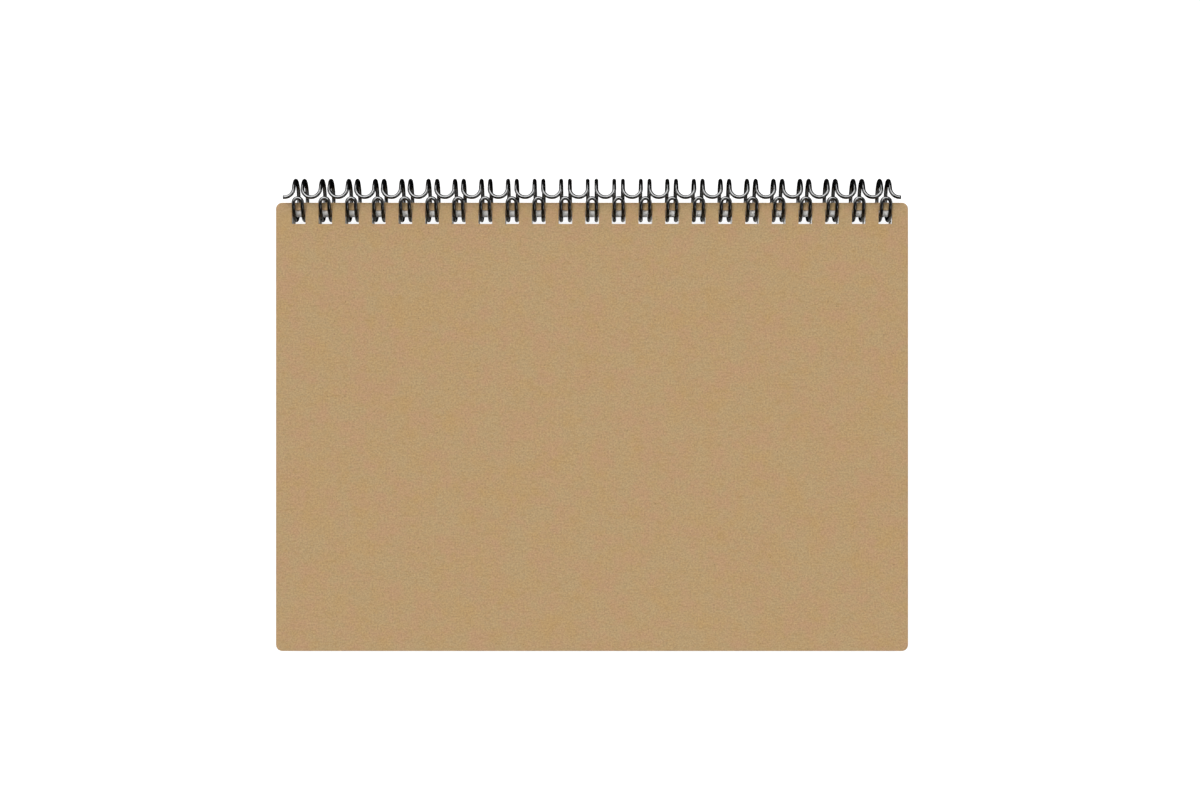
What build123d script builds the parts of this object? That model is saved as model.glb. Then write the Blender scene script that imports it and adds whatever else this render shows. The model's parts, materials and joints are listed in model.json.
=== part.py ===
from build123d import *
import os
from math import cos, degrees, floor, pi, radians, sin, sqrt

# A landscape notebook with board covers, bound by one twin-loop wire along its long edge.
# Millimetres. +Z up, with the front cover uppermost; the binding runs along X on the +Y side.
# The origin is under the middle of the whole notebook, level with the underside of the wire.

# Sheets
page_width = 297.0
page_depth = 210.0
page_block = 10.0
page_corner_radius = 2.0

# Covers
cover_board = 1.5
side_lip = 2.0           # how far a cover stands past the sheets at each short end
front_lip = 3.5          # and at the free edge
cover_corner_radius = 3.0
edge_softening = 0.2     # the worn-in rounding of the board's outer face

# Wire
wire_diameter = 1.8
loop_pitch = 12.7
leg_spacing = 4.16       # between the two legs of a loop, centre to centre
ring_overhang = 1.6      # the ring's centre line stands this far outside the binding edge
tip_angle = 1.9          # closed end of a loop, from straight up, towards the spine side
bridge_angle = 4.3       # lowest point of the bend that joins two loops, likewise
end_stub = 0.65          # the wire is cut this far past the middle of its last bridge

# Punching
edge_strip = 3.6         # board left between a hole and the binding edge
end_margin = 7.0         # least length of sheet outside the middle of the first hole

# Clearances
strip_clearance = 0.28   # wire to the corner of the covers' edge strip
page_clearance = 0.75    # wire to the sheets' edge strips
side_play = 0.27         # each leg to the side of its hole
far_play = 1.3           # wire to the side of the hole away from the binding edge

wire_radius = wire_diameter / 2
stack = page_block + 2 * cover_board
cover_width = page_width + 2 * side_lip
cover_depth = page_depth + front_lip
loop_count = floor((page_width - 2 * end_margin) / loop_pitch) + 1

# The ring is as small as the two edge strips inside it allow.
ring_inner = sqrt((edge_strip + ring_overhang) ** 2 + (stack / 2) ** 2) + strip_clearance
ring_radius = ring_inner + wire_radius
ring_outer = ring_inner + wire_diameter

hole_width = leg_spacing + wire_diameter + 2 * side_play
hole_depth = ring_outer - ring_overhang - edge_strip + far_play

# Each sheet hangs back until its edge strip nearly meets the wire, so the block's edges are arcs.
sheet_reach = ring_inner - page_clearance
sheet_arc_depth = sheet_reach - sqrt(sheet_reach**2 - (page_block / 2) ** 2)

total_depth = cover_depth + ring_overhang + ring_outer
ring_y = total_depth / 2 - ring_outer
ring_z = ring_outer
binding_edge = ring_y - ring_overhang
stack_bottom = ring_z - stack / 2
loop_places = [(number - (loop_count - 1) / 2) * loop_pitch for number in range(loop_count)]


def punched_cover():
    """Outline of a cover with its row of square holes."""
    with Locations((0, binding_edge - cover_depth / 2)):
        RectangleRounded(cover_width, cover_depth, cover_corner_radius)
    with Locations((0, binding_edge - edge_strip - hole_depth / 2)):
        with GridLocations(loop_pitch, 0, loop_count, 1):
            Rectangle(hole_width, hole_depth, mode=Mode.SUBTRACT)


def sheets_from_the_side(near, far):
    """Section of the hanging sheets between two distances behind the near side of their holes."""
    half = page_block / 2
    deepest = ring_y - sheet_reach
    outermost = deepest + sheet_arc_depth
    with BuildLine() as outline:
        ThreePointArc(
            (outermost - near, ring_z - half), (deepest - near, ring_z), (outermost - near, ring_z + half)
        )
        Line((outermost - near, ring_z + half), (outermost - far, ring_z + half))
        ThreePointArc(
            (outermost - far, ring_z + half), (deepest - far, ring_z), (outermost - far, ring_z - half)
        )
        Line((outermost - far, ring_z - half), (outermost - near, ring_z - half))
    make_face(outline.edges())


def on_ring(x, angle):
    """Point on the ring's centre line. Angle 0 is straight up and grows towards the spine side."""
    turn = radians(angle)
    return Vector(x, ring_y + ring_radius * sin(turn), ring_z + ring_radius * cos(turn))


def along_ring(angle):
    """Direction in which the angle grows at that point of the ring."""
    return Vector(0, cos(radians(angle)), -sin(radians(angle)))


def tangent_arcs(start, leaving, end, arriving):
    """Two arcs, tangent where they meet, between directions that are square to each other."""
    span = end - start
    reach = span.dot(leaving + arriving)
    handle = (sqrt(reach**2 + 2 * span.dot(span)) - reach) / 2
    first = start + leaving * handle
    second = end - arriving * handle
    middle = (first + second) / 2
    TangentArc(start, middle, tangent=leaving)
    TangentArc(middle, end, tangent=second - first)


def wire_loop(x):
    """One loop of the wire, from the middle of the bridge before it to the middle of the next."""
    left = x - leg_spacing / 2
    right = x + leg_spacing / 2
    across = Vector(1, 0, 0)
    bridge_leg = bridge_angle + degrees((loop_pitch - leg_spacing) / 2 / ring_radius)
    tip_leg = 360 + tip_angle - degrees(leg_spacing / 2 / ring_radius)
    halfway = (bridge_leg + tip_leg) / 2
    bridge_before = on_ring(x - loop_pitch / 2, bridge_angle)
    bridge_after = on_ring(x + loop_pitch / 2, bridge_angle)
    tip = on_ring(x, tip_angle)
    tangent_arcs(bridge_before, across, on_ring(left, bridge_leg), along_ring(bridge_leg))
    ThreePointArc(on_ring(left, bridge_leg), on_ring(left, halfway), on_ring(left, tip_leg))
    tangent_arcs(on_ring(left, tip_leg), along_ring(tip_leg), tip, across)
    tangent_arcs(tip, across, on_ring(right, tip_leg), -along_ring(tip_leg))
    ThreePointArc(on_ring(right, tip_leg), on_ring(right, halfway), on_ring(right, bridge_leg))
    tangent_arcs(on_ring(right, bridge_leg), -along_ring(bridge_leg), bridge_after, across)


with BuildPart() as back_cover:
    with BuildSketch(Plane.XY.offset(stack_bottom)):
        punched_cover()
    extrude(amount=cover_board)
    fillet(back_cover.faces().sort_by(Axis.Z)[0].outer_wire().edges(), edge_softening)

with BuildPart() as pages:
    with BuildSketch(Plane.YZ.offset(-page_width / 2)):
        sheets_from_the_side(-edge_strip, page_depth - edge_strip)
    extrude(amount=page_width)
    fillet(pages.edges().filter_by(GeomType.CIRCLE), page_corner_radius)
    with BuildSketch(*[Plane.YZ.offset(place - hole_width / 2) for place in loop_places]):
        sheets_from_the_side(0, hole_depth)
    extrude(amount=hole_width, mode=Mode.SUBTRACT)

with BuildPart() as front_cover:
    with BuildSketch(Plane.XY.offset(stack_bottom + cover_board + page_block)):
        punched_cover()
    extrude(amount=cover_board)
    fillet(front_cover.faces().sort_by(Axis.Z)[-1].outer_wire().edges(), edge_softening)

with BuildPart() as wire_binding:
    with BuildLine() as wire_path:
        left_cut = on_ring(loop_places[0] - loop_pitch / 2, bridge_angle)
        right_cut = on_ring(loop_places[-1] + loop_pitch / 2, bridge_angle)
        Line(left_cut - Vector(end_stub, 0, 0), left_cut)
        for place in loop_places:
            wire_loop(place)
        Line(right_cut, right_cut + Vector(end_stub, 0, 0))
    with BuildSketch(Plane(origin=wire_path.line @ 0, z_dir=wire_path.line % 0)):
        Circle(wire_radius)
    sweep(path=wire_path.wire())

back_cover.part.label = "back_cover"
pages.part.label = "pages"
front_cover.part.label = "front_cover"
wire_binding.part.label = "wire_binding"

os.makedirs("parts", exist_ok=True)
export_step(back_cover.part, "parts/back_cover.step")
export_step(pages.part, "parts/pages.step")
export_step(front_cover.part, "parts/front_cover.step")
export_step(wire_binding.part, "parts/wire_binding.step")

wire_length = wire_path.wire().length
expected_volume = wire_length * pi * wire_radius**2
print(f"ring radius {ring_radius:.3f}, hole {hole_width:.2f} x {hole_depth:.2f}, {loop_count} loops")
print(f"wire {wire_length:.1f} mm long, volume {wire_binding.part.volume:.1f} of {expected_volume:.1f}")
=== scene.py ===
"""A landscape notebook: kraft board covers on a black twin-loop wire, on a white studio table."""

import json
import math
import random

import bmesh
import bpy
from mathutils import Matrix, Vector


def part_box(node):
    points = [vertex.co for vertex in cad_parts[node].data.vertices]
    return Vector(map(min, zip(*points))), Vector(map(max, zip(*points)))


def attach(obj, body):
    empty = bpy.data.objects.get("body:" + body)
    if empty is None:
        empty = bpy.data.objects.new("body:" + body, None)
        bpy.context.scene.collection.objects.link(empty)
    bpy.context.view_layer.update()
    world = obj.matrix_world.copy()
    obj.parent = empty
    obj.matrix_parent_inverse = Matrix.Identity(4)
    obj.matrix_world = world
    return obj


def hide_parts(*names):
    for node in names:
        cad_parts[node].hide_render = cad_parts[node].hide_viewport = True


MM = 0.001

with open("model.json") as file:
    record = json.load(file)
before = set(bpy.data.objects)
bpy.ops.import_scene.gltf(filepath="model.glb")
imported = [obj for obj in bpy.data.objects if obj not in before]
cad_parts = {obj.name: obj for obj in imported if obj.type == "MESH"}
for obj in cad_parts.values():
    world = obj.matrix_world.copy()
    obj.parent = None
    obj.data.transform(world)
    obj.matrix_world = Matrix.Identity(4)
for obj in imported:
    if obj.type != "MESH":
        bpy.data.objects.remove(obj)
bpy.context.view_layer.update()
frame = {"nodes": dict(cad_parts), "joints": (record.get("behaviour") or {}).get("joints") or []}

RING_CENTRE = Vector(frame["joints"][0]["pos_m"])
COVER_LOW, COVER_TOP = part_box("front_cover")
PAGES_LOW, PAGES_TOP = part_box("pages")

# Binding, as the wire was formed
WIRE_RADIUS = 0.9 * MM
RING_RADIUS = RING_CENTRE.z - WIRE_RADIUS
LOOP_COUNT = 23
LOOP_PITCH = 12.7 * MM
LEG_SPACING = 4.16 * MM
TIP_ANGLE = math.radians(1.9)
BRIDGE_ANGLE = math.radians(4.3)
END_STUB = 0.65 * MM  # the wire is cut this far past the middle of its last bridge
LOOP_PLACES = [(number - (LOOP_COUNT - 1) / 2) * LOOP_PITCH for number in range(LOOP_COUNT)]

# Fineness of the wire's mesh
WIRE_SIDES = 18
CORNER_STEP = math.radians(10)
RING_STEP = math.radians(6)
WELD_DISTANCE = 0.02 * MM

# Punching and sheets
EDGE_STRIP = 3.6 * MM  # left between the holes and the binding edge
HOLE_SIZE = 6.5 * MM
SHEET_DEPTH = 210 * MM
SHEET_PITCH = 0.1 * MM  # a sheet and the air under it
SHEET_THICKNESS = 0.088 * MM
SHEET_CORNER = 2 * MM
SHEET_CORNER_STEPS = 4
SHEET_STRAY = 0.12 * MM  # the most that one sheet lies out of line
WIRE_TO_SHEETS = 0.75 * MM
SHEET_REACH = RING_RADIUS - WIRE_RADIUS - WIRE_TO_SHEETS


def linear(colour):
    """An sRGB hex colour as the linear RGBA that a shader takes."""
    channels = [int(colour[i:i + 2], 16) / 255 for i in (1, 3, 5)]
    return [c / 12.92 if c <= 0.04045 else ((c + 0.055) / 1.055) ** 2.4 for c in channels] + [1]


def add_node(tree, kind, inputs=None, **settings):
    """Adds a node, gives it its settings, and fills or links its input sockets."""
    made = tree.nodes.new(kind)
    for name, value in settings.items():
        setattr(made, name, value)
    for socket, source in (inputs or {}).items():
        if isinstance(source, bpy.types.NodeSocket):
            tree.links.new(source, made.inputs[socket])
        else:
            made.inputs[socket].default_value = source
    return made


def new_material(name, **shader_values):
    """A material with one Principled shader, and its tree, shader and Object coordinates."""
    material = bpy.data.materials.new(name)
    material.use_nodes = True
    tree = material.node_tree
    shader = tree.nodes["Principled BSDF"]
    for socket, value in shader_values.items():
        shader.inputs[socket.replace("_", " ")].default_value = value
    place = add_node(tree, "ShaderNodeTexCoord").outputs["Object"]
    return material, tree, shader, place


def kraft_board():
    """Uncoated kraft board, pressed from brown pulp: dull, with clouds of ochre and pink, fine
    grain, short fibres and a few dark specks of bark.

    The real grain and fibres are finer. They are drawn as coarse as they need to be to show.
    """
    ochre_cloud_size = 12 * MM
    pink_cloud_size = 9 * MM
    grain_size = 0.8 * MM
    fibre_length = 3 * MM
    fibre_slimness = 5
    bark_spacing = 4.5 * MM
    bump_height = 0.04 * MM
    material, tree, shader, place = new_material("kraft_board", Roughness=0.88,
                                                 Specular_IOR_Level=0.25)

    ochre_clouds = add_node(tree, "ShaderNodeTexNoise", {
        "Vector": place, "Scale": 1 / ochre_cloud_size, "Detail": 4, "Roughness": 0.65})
    ochre_share = add_node(tree, "ShaderNodeMapRange", {
        "Value": ochre_clouds.outputs["Fac"], "From Min": 0.42, "From Max": 0.68})
    # The pink clouds are read from another place, so that they don't follow the ochre ones
    pink_place = add_node(tree, "ShaderNodeMapping", {
        "Vector": place, "Location": (0.31, 0.17, 0.05)})
    pink_clouds = add_node(tree, "ShaderNodeTexNoise", {
        "Vector": pink_place.outputs[0], "Scale": 1 / pink_cloud_size, "Detail": 4,
        "Roughness": 0.65})
    pink_share = add_node(tree, "ShaderNodeMapRange", {
        "Value": pink_clouds.outputs["Fac"], "From Min": 0.46, "From Max": 0.66})
    ochre = add_node(tree, "ShaderNodeMix", {
        0: ochre_share.outputs[0], 6: linear("#97805C"), 7: linear("#9A7E55")}, data_type="RGBA")
    pulp = add_node(tree, "ShaderNodeMix", {
        0: pink_share.outputs[0], 6: ochre.outputs[2], 7: linear("#9B7C5C")}, data_type="RGBA")

    grain = add_node(tree, "ShaderNodeTexNoise", {
        "Vector": place, "Scale": 1 / grain_size, "Detail": 3, "Roughness": 0.7})
    grain_shade = add_node(tree, "ShaderNodeMapRange", {
        "Value": grain.outputs["Fac"], "From Min": 0.2, "From Max": 0.8,
        "To Min": 0.68, "To Max": 1.32})
    grained = add_node(tree, "ShaderNodeMix", {
        0: 1.0, 6: pulp.outputs[2], 7: grain_shade.outputs[0]},
        data_type="RGBA", blend_type="MULTIPLY")

    fibres = grained
    for turn, darkness in ((35, 0.4), (80, 0.35), (150, 0.4)):
        lie = add_node(tree, "ShaderNodeMapping", {
            "Vector": place, "Rotation": (0, 0, math.radians(turn)),
            "Scale": (1, fibre_slimness, 1)})
        streaks = add_node(tree, "ShaderNodeTexNoise", {
            "Vector": lie.outputs[0], "Scale": 1 / fibre_length, "Detail": 1})
        streak_share = add_node(tree, "ShaderNodeMapRange", {
            "Value": streaks.outputs["Fac"], "From Min": 0.62, "From Max": 0.72,
            "To Max": darkness})
        fibres = add_node(tree, "ShaderNodeMix", {
            0: streak_share.outputs[0], 6: fibres.outputs[2], 7: linear("#8E7147")},
            data_type="RGBA")

    # About four cells in ten hold a speck of bark
    bark = add_node(tree, "ShaderNodeTexVoronoi", {"Vector": place, "Scale": 1 / bark_spacing})
    bark_core = add_node(tree, "ShaderNodeMapRange", {
        "Value": bark.outputs["Distance"], "From Min": 0.04, "From Max": 0.1,
        "To Min": 0.45, "To Max": 0})
    bark_kind = add_node(tree, "ShaderNodeSeparateColor", {"Color": bark.outputs["Color"]})
    bark_chosen = add_node(tree, "ShaderNodeMath", {0: bark_kind.outputs["Red"], 1: 0.62},
                           operation="GREATER_THAN")
    bark_share = add_node(tree, "ShaderNodeMath", {
        0: bark_core.outputs[0], 1: bark_chosen.outputs[0]}, operation="MULTIPLY")
    board = add_node(tree, "ShaderNodeMix", {
        0: bark_share.outputs[0], 6: fibres.outputs[2], 7: linear("#5F472B")}, data_type="RGBA")
    tree.links.new(board.outputs[2], shader.inputs["Base Color"])

    surface = add_node(tree, "ShaderNodeBump", {
        "Height": grain.outputs["Fac"], "Strength": 0.35, "Distance": bump_height})
    tree.links.new(surface.outputs[0], shader.inputs["Normal"])
    return material


def uncoated_paper():
    """Uncoated white paper: dull, with a soft fibrous tooth that hardly shows from a metre away."""
    tooth_size = 1.2 * MM
    bump_height = 0.03 * MM
    material, tree, shader, place = new_material("uncoated_paper", Roughness=0.9,
                                                 Specular_IOR_Level=0.3)
    tooth = add_node(tree, "ShaderNodeTexNoise", {
        "Vector": place, "Scale": 1 / tooth_size, "Detail": 3})
    shade = add_node(tree, "ShaderNodeMix", {
        0: tooth.outputs["Fac"], 6: linear("#EFEEEB"), 7: linear("#F7F6F3")}, data_type="RGBA")
    tree.links.new(shade.outputs[2], shader.inputs["Base Color"])
    surface = add_node(tree, "ShaderNodeBump", {
        "Height": tooth.outputs["Fac"], "Strength": 0.15, "Distance": bump_height})
    tree.links.new(surface.outputs[0], shader.inputs["Normal"])
    return material


def black_enamel():
    """Baked black enamel on steel wire: a deep gloss whose reflections waver a little along it."""
    waver_length = 2.5 * MM
    bump_height = 0.04 * MM
    material, tree, shader, place = new_material("black_enamel", Roughness=0.25, IOR=1.5,
                                                 Specular_IOR_Level=0.5, Coat_Weight=1.0,
                                                 Coat_Roughness=0.15, Coat_IOR=1.5)
    waver = add_node(tree, "ShaderNodeTexNoise", {
        "Vector": place, "Scale": 1 / waver_length, "Detail": 2})
    shade = add_node(tree, "ShaderNodeMix", {
        0: waver.outputs["Fac"], 6: linear("#030303"), 7: linear("#0B0B0B")}, data_type="RGBA")
    tree.links.new(shade.outputs[2], shader.inputs["Base Color"])
    surface = add_node(tree, "ShaderNodeBump", {
        "Height": waver.outputs["Fac"], "Strength": 0.1, "Distance": bump_height})
    tree.links.new(surface.outputs[0], shader.inputs["Normal"])
    return material


def finished_piece(name, bm, material, body, node, smooth):
    """Turns a bmesh into a piece that stands for a CAD node and rides on its body."""
    mesh = bpy.data.meshes.new(name)
    bmesh.ops.recalc_face_normals(bm, faces=bm.faces)
    for face in bm.faces:
        face.smooth = smooth
    bm.to_mesh(mesh)
    bm.free()
    mesh.materials.append(material)
    piece = bpy.data.objects.new(name, mesh)
    bpy.context.scene.collection.objects.link(piece)
    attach(piece, body)
    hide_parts(node)
    return piece


def on_ring(x, angle):
    """Point on the ring's centre line. Angle 0 is straight up and grows towards the spine side."""
    return Vector((x, RING_CENTRE.y + RING_RADIUS * math.sin(angle),
                   RING_CENTRE.z + RING_RADIUS * math.cos(angle)))


def along_ring(angle):
    """Direction in which the angle grows at that point of the ring."""
    return Vector((0, math.cos(angle), -math.sin(angle)))


def bend_wire(bm, section, start, leaving, end, step):
    """Spins the wire's section to the end, along the arc that leaves the start that way."""
    chord = end - start
    axis = leaving.cross(chord).normalized()
    turn = 2 * leaving.angle(chord)
    radius = chord.length / 2 / math.sin(turn / 2)
    spun = bmesh.ops.spin(bm, geom=section, cent=start + axis.cross(leaving) * radius, axis=axis,
                          angle=turn, steps=max(2, round(turn / step)), use_merge=False)
    return spun["geom_last"]


def bend_corner(bm, section, start, leaving, end, arriving):
    """Two arcs, tangent where they meet, between directions that are square to each other."""
    span = end - start
    reach = span.dot(leaving + arriving)
    handle = (math.sqrt(reach ** 2 + 2 * span.dot(span)) - reach) / 2
    first = start + leaving * handle
    second = end - arriving * handle
    middle = (first + second) / 2
    section = bend_wire(bm, section, start, leaving, middle, CORNER_STEP)
    return bend_wire(bm, section, middle, (second - first).normalized(), end, CORNER_STEP)


def bend_ring(bm, section, x, start_angle, end_angle):
    """The part of a loop that goes round the ring, in two arcs of less than half a turn each."""
    middle = (start_angle + end_angle) / 2
    way = 1 if end_angle > start_angle else -1
    section = bend_wire(bm, section, on_ring(x, start_angle), along_ring(start_angle) * way,
                        on_ring(x, middle), RING_STEP)
    return bend_wire(bm, section, on_ring(x, middle), along_ring(middle) * way,
                     on_ring(x, end_angle), RING_STEP)


def verts_of(geometry):
    """The vertices among what a bmesh operator returned."""
    return [part for part in geometry if isinstance(part, bmesh.types.BMVert)]


def copy_along(bm, geometry, shifts):
    """Leaves the geometry where it is and sets one copy of it at each shift."""
    for shift in shifts:
        copy = bmesh.ops.duplicate(bm, geom=geometry)["geom"]
        bmesh.ops.translate(bm, vec=shift, verts=verts_of(copy))


def wire_loops():
    """The twin-loop wire: one section bent through a whole loop, repeated along the row."""
    across = Vector((1, 0, 0))
    x = LOOP_PLACES[0]
    left = x - LEG_SPACING / 2
    right = x + LEG_SPACING / 2
    bridge_leg = BRIDGE_ANGLE + (LOOP_PITCH - LEG_SPACING) / 2 / RING_RADIUS
    tip_leg = math.tau + TIP_ANGLE - LEG_SPACING / 2 / RING_RADIUS
    bridge_before = on_ring(x - LOOP_PITCH / 2, BRIDGE_ANGLE)
    bridge_after = on_ring(x + LOOP_PITCH / 2, BRIDGE_ANGLE)
    tip = on_ring(x, TIP_ANGLE)

    bm = bmesh.new()
    place = Matrix.Translation(bridge_before) @ Matrix.Rotation(math.pi / 2, 4, "Y")
    bmesh.ops.create_circle(bm, segments=WIRE_SIDES, radius=WIRE_RADIUS, cap_ends=False,
                            matrix=place)
    section = bm.verts[:] + bm.edges[:]
    section = bend_corner(bm, section, bridge_before, across, on_ring(left, bridge_leg),
                          along_ring(bridge_leg))
    section = bend_ring(bm, section, left, bridge_leg, tip_leg)
    section = bend_corner(bm, section, on_ring(left, tip_leg), along_ring(tip_leg), tip, across)
    section = bend_corner(bm, section, tip, across, on_ring(right, tip_leg), -along_ring(tip_leg))
    section = bend_ring(bm, section, right, tip_leg, bridge_leg)
    bend_corner(bm, section, on_ring(right, bridge_leg), -along_ring(bridge_leg), bridge_after,
                across)

    copy_along(bm, bm.verts[:] + bm.edges[:] + bm.faces[:],
               [across * LOOP_PITCH * number for number in range(1, LOOP_COUNT)])
    bmesh.ops.remove_doubles(bm, verts=bm.verts, dist=WELD_DISTANCE)
    cut_edges = [edge for edge in bm.edges if edge.is_boundary]
    stubs = verts_of(bmesh.ops.extrude_edge_only(bm, edges=cut_edges)["geom"])
    for side in (-1, 1):
        bmesh.ops.translate(bm, vec=across * END_STUB * side,
                            verts=[vert for vert in stubs if vert.co.x * side > 0])
    bmesh.ops.holes_fill(bm, edges=[edge for edge in bm.edges if edge.is_boundary], sides=0)
    return finished_piece("wire_loops", bm, black_enamel(), "binding",
                          "wire_binding", smooth=True)


def punched_sheet_outline(bm):
    """The sheet at the bottom of the block: a rounded rectangle with its row of square holes."""
    far_edge = PAGES_TOP.y - SHEET_DEPTH
    bmesh.ops.create_grid(bm, x_segments=1, y_segments=1, size=0.5)
    bmesh.ops.scale(bm, vec=(PAGES_TOP.x - PAGES_LOW.x, SHEET_DEPTH, 1), verts=bm.verts)
    bmesh.ops.translate(bm, vec=(0, (PAGES_TOP.y + far_edge) / 2, PAGES_LOW.z), verts=bm.verts)
    bmesh.ops.bevel(bm, geom=bm.verts[:], offset=SHEET_CORNER, offset_type="OFFSET",
                    affect="VERTICES", segments=SHEET_CORNER_STEPS, profile=0.5, material=-1)

    holes_near = PAGES_TOP.y - EDGE_STRIP
    holes_far = holes_near - HOLE_SIZE
    cuts = [((x + side * HOLE_SIZE / 2, 0, 0), (1, 0, 0)) for x in LOOP_PLACES for side in (-1, 1)]
    cuts += [((0, holes_near, 0), (0, 1, 0)), ((0, holes_far, 0), (0, 1, 0))]
    for point, normal in cuts:
        bmesh.ops.bisect_plane(bm, geom=bm.verts[:] + bm.edges[:] + bm.faces[:], plane_co=point,
                               plane_no=normal)
    punched = [face for face in bm.faces
               if holes_far < face.calc_center_median().y < holes_near
               and any(abs(face.calc_center_median().x - x) < HOLE_SIZE / 2 for x in LOOP_PLACES)]
    bmesh.ops.delete(bm, geom=punched, context="FACES")


def sheet_block():
    """The punched sheets, each hanging back against the inside of the ring, a hair out of line."""
    bm = bmesh.new()
    punched_sheet_outline(bm)
    thickened = bmesh.ops.extrude_face_region(bm, geom=bm.faces[:])
    bmesh.ops.translate(bm, vec=(0, 0, SHEET_THICKNESS), verts=verts_of(thickened["geom"]))
    sheet = bm.verts[:] + bm.edges[:] + bm.faces[:]

    top_reach = math.sqrt(SHEET_REACH ** 2 - (PAGES_TOP.z - RING_CENTRE.z) ** 2)
    count = round((PAGES_TOP.z - PAGES_LOW.z) / SHEET_PITCH)
    stray = random.Random(7)
    shifts = []
    for number in range(count):
        height = PAGES_LOW.z + (number + 0.5) * SHEET_PITCH - RING_CENTRE.z
        set_back = math.sqrt(SHEET_REACH ** 2 - height ** 2) - top_reach
        aside = stray.uniform(-SHEET_STRAY, SHEET_STRAY)
        back = set_back + stray.uniform(0, SHEET_STRAY)
        shifts.append(Vector((aside, -back, number * SHEET_PITCH)))
    copy_along(bm, sheet, shifts)
    bmesh.ops.delete(bm, geom=verts_of(sheet), context="VERTS")
    return finished_piece("sheet_block", bm, uncoated_paper(), "sheets",
                          "pages", smooth=False)


def cover_finish():
    """Both covers keep their own shape and take the board's finish."""
    board = kraft_board()
    for name in ("front_cover", "back_cover"):
        cover = frame["nodes"][name]
        cover.data.materials.clear()
        cover.data.materials.append(board)


def studio_table():
    """A white acrylic table, lit from inside so that it is pure white around the notebook.

    It is left out of reflections and throws no light back, so the wire's sides keep their black.
    """
    half_width = 3
    material = new_material("lit_acrylic", Roughness=0.6, Base_Color=linear("#6E6E6E"),
                            Emission_Color=linear("#FFFFFF"), Emission_Strength=0.95)[0]
    bm = bmesh.new()
    bmesh.ops.create_grid(bm, x_segments=8, y_segments=8, size=half_width)
    mesh = bpy.data.meshes.new("table")
    bm.to_mesh(mesh)
    bm.free()
    mesh.materials.append(material)
    table = bpy.data.objects.new("table", mesh)
    table.visible_glossy = False
    table.visible_diffuse = False
    bpy.context.scene.collection.objects.link(table)


def distant_softbox(name, direction, spread, strength, glossy=True, diffuse=True):
    """A softbox so far off that it lights the whole notebook evenly.

    With glossy off it shows in no reflection, and with diffuse off it shows only there.
    """
    light = bpy.data.lights.new(name, "SUN")
    light.angle = math.radians(spread)
    light.energy = strength
    lamp = bpy.data.objects.new(name, light)
    lamp.rotation_euler = Vector(direction).to_track_quat("Z", "Y").to_euler()
    lamp.visible_glossy = glossy
    lamp.visible_diffuse = diffuse
    bpy.context.scene.collection.objects.link(lamp)


def studio_light():
    """Keys and fills light the board and sheets, and banks all round draw the wire's gloss.

    Each softbox has the direction that it stands in, its spread in degrees and its strength.
    """
    distant_softbox("left_key", (-0.33, 0.1, 0.94), 20, 0.95)
    distant_softbox("back_key", (-0.1, 0.55, 0.8), 40, 2.2, glossy=False)
    distant_softbox("back_gloss", (-0.1, 0.55, 0.8), 50, 5.4, diffuse=False)
    distant_softbox("low_back_bank", (-0.35, 0.9, 0.25), 30, 1.4)
    distant_softbox("front_bank", (0.55, -0.58, 0.6), 20, 0.35)
    distant_softbox("fill", (0, 0, 1), 120, 0.9, glossy=False)
    for side in (-1, 1):
        distant_softbox("side_fill", (side, -0.35, 0.4), 90, 0.55, glossy=False)
        distant_softbox("side_gloss", (side, 0.15, 0.3), 44, 1.0, diffuse=False)

    # A white room that only the camera sees
    room = bpy.data.worlds.new("room")
    room.use_nodes = True
    room.node_tree.nodes["Background"].inputs["Color"].default_value = linear("#FFFFFF")
    room.cycles_visibility.diffuse = False
    room.cycles_visibility.glossy = False
    bpy.context.scene.world = room


def overhead_camera():
    """Straight down from about a metre above the notebook, a little nearer to its binding."""
    to_the_right = 3.8 * MM
    towards_binding = 13.5 * MM
    above_ring = 1.054
    cover_middle = (COVER_LOW + COVER_TOP) / 2
    camera = bpy.data.objects.new("camera", bpy.data.cameras.new("camera"))
    camera.location = (cover_middle.x + to_the_right, cover_middle.y + towards_binding,
                       RING_CENTRE.z + above_ring)
    camera.data.lens = 66.0
    camera.data.sensor_width = 36
    bpy.context.scene.collection.objects.link(camera)
    bpy.context.scene.camera = camera


overhead_camera()
cover_finish()
sheet_block()
wire_loops()
studio_table()
studio_light()
bpy.context.scene.view_settings.view_transform = "Standard"
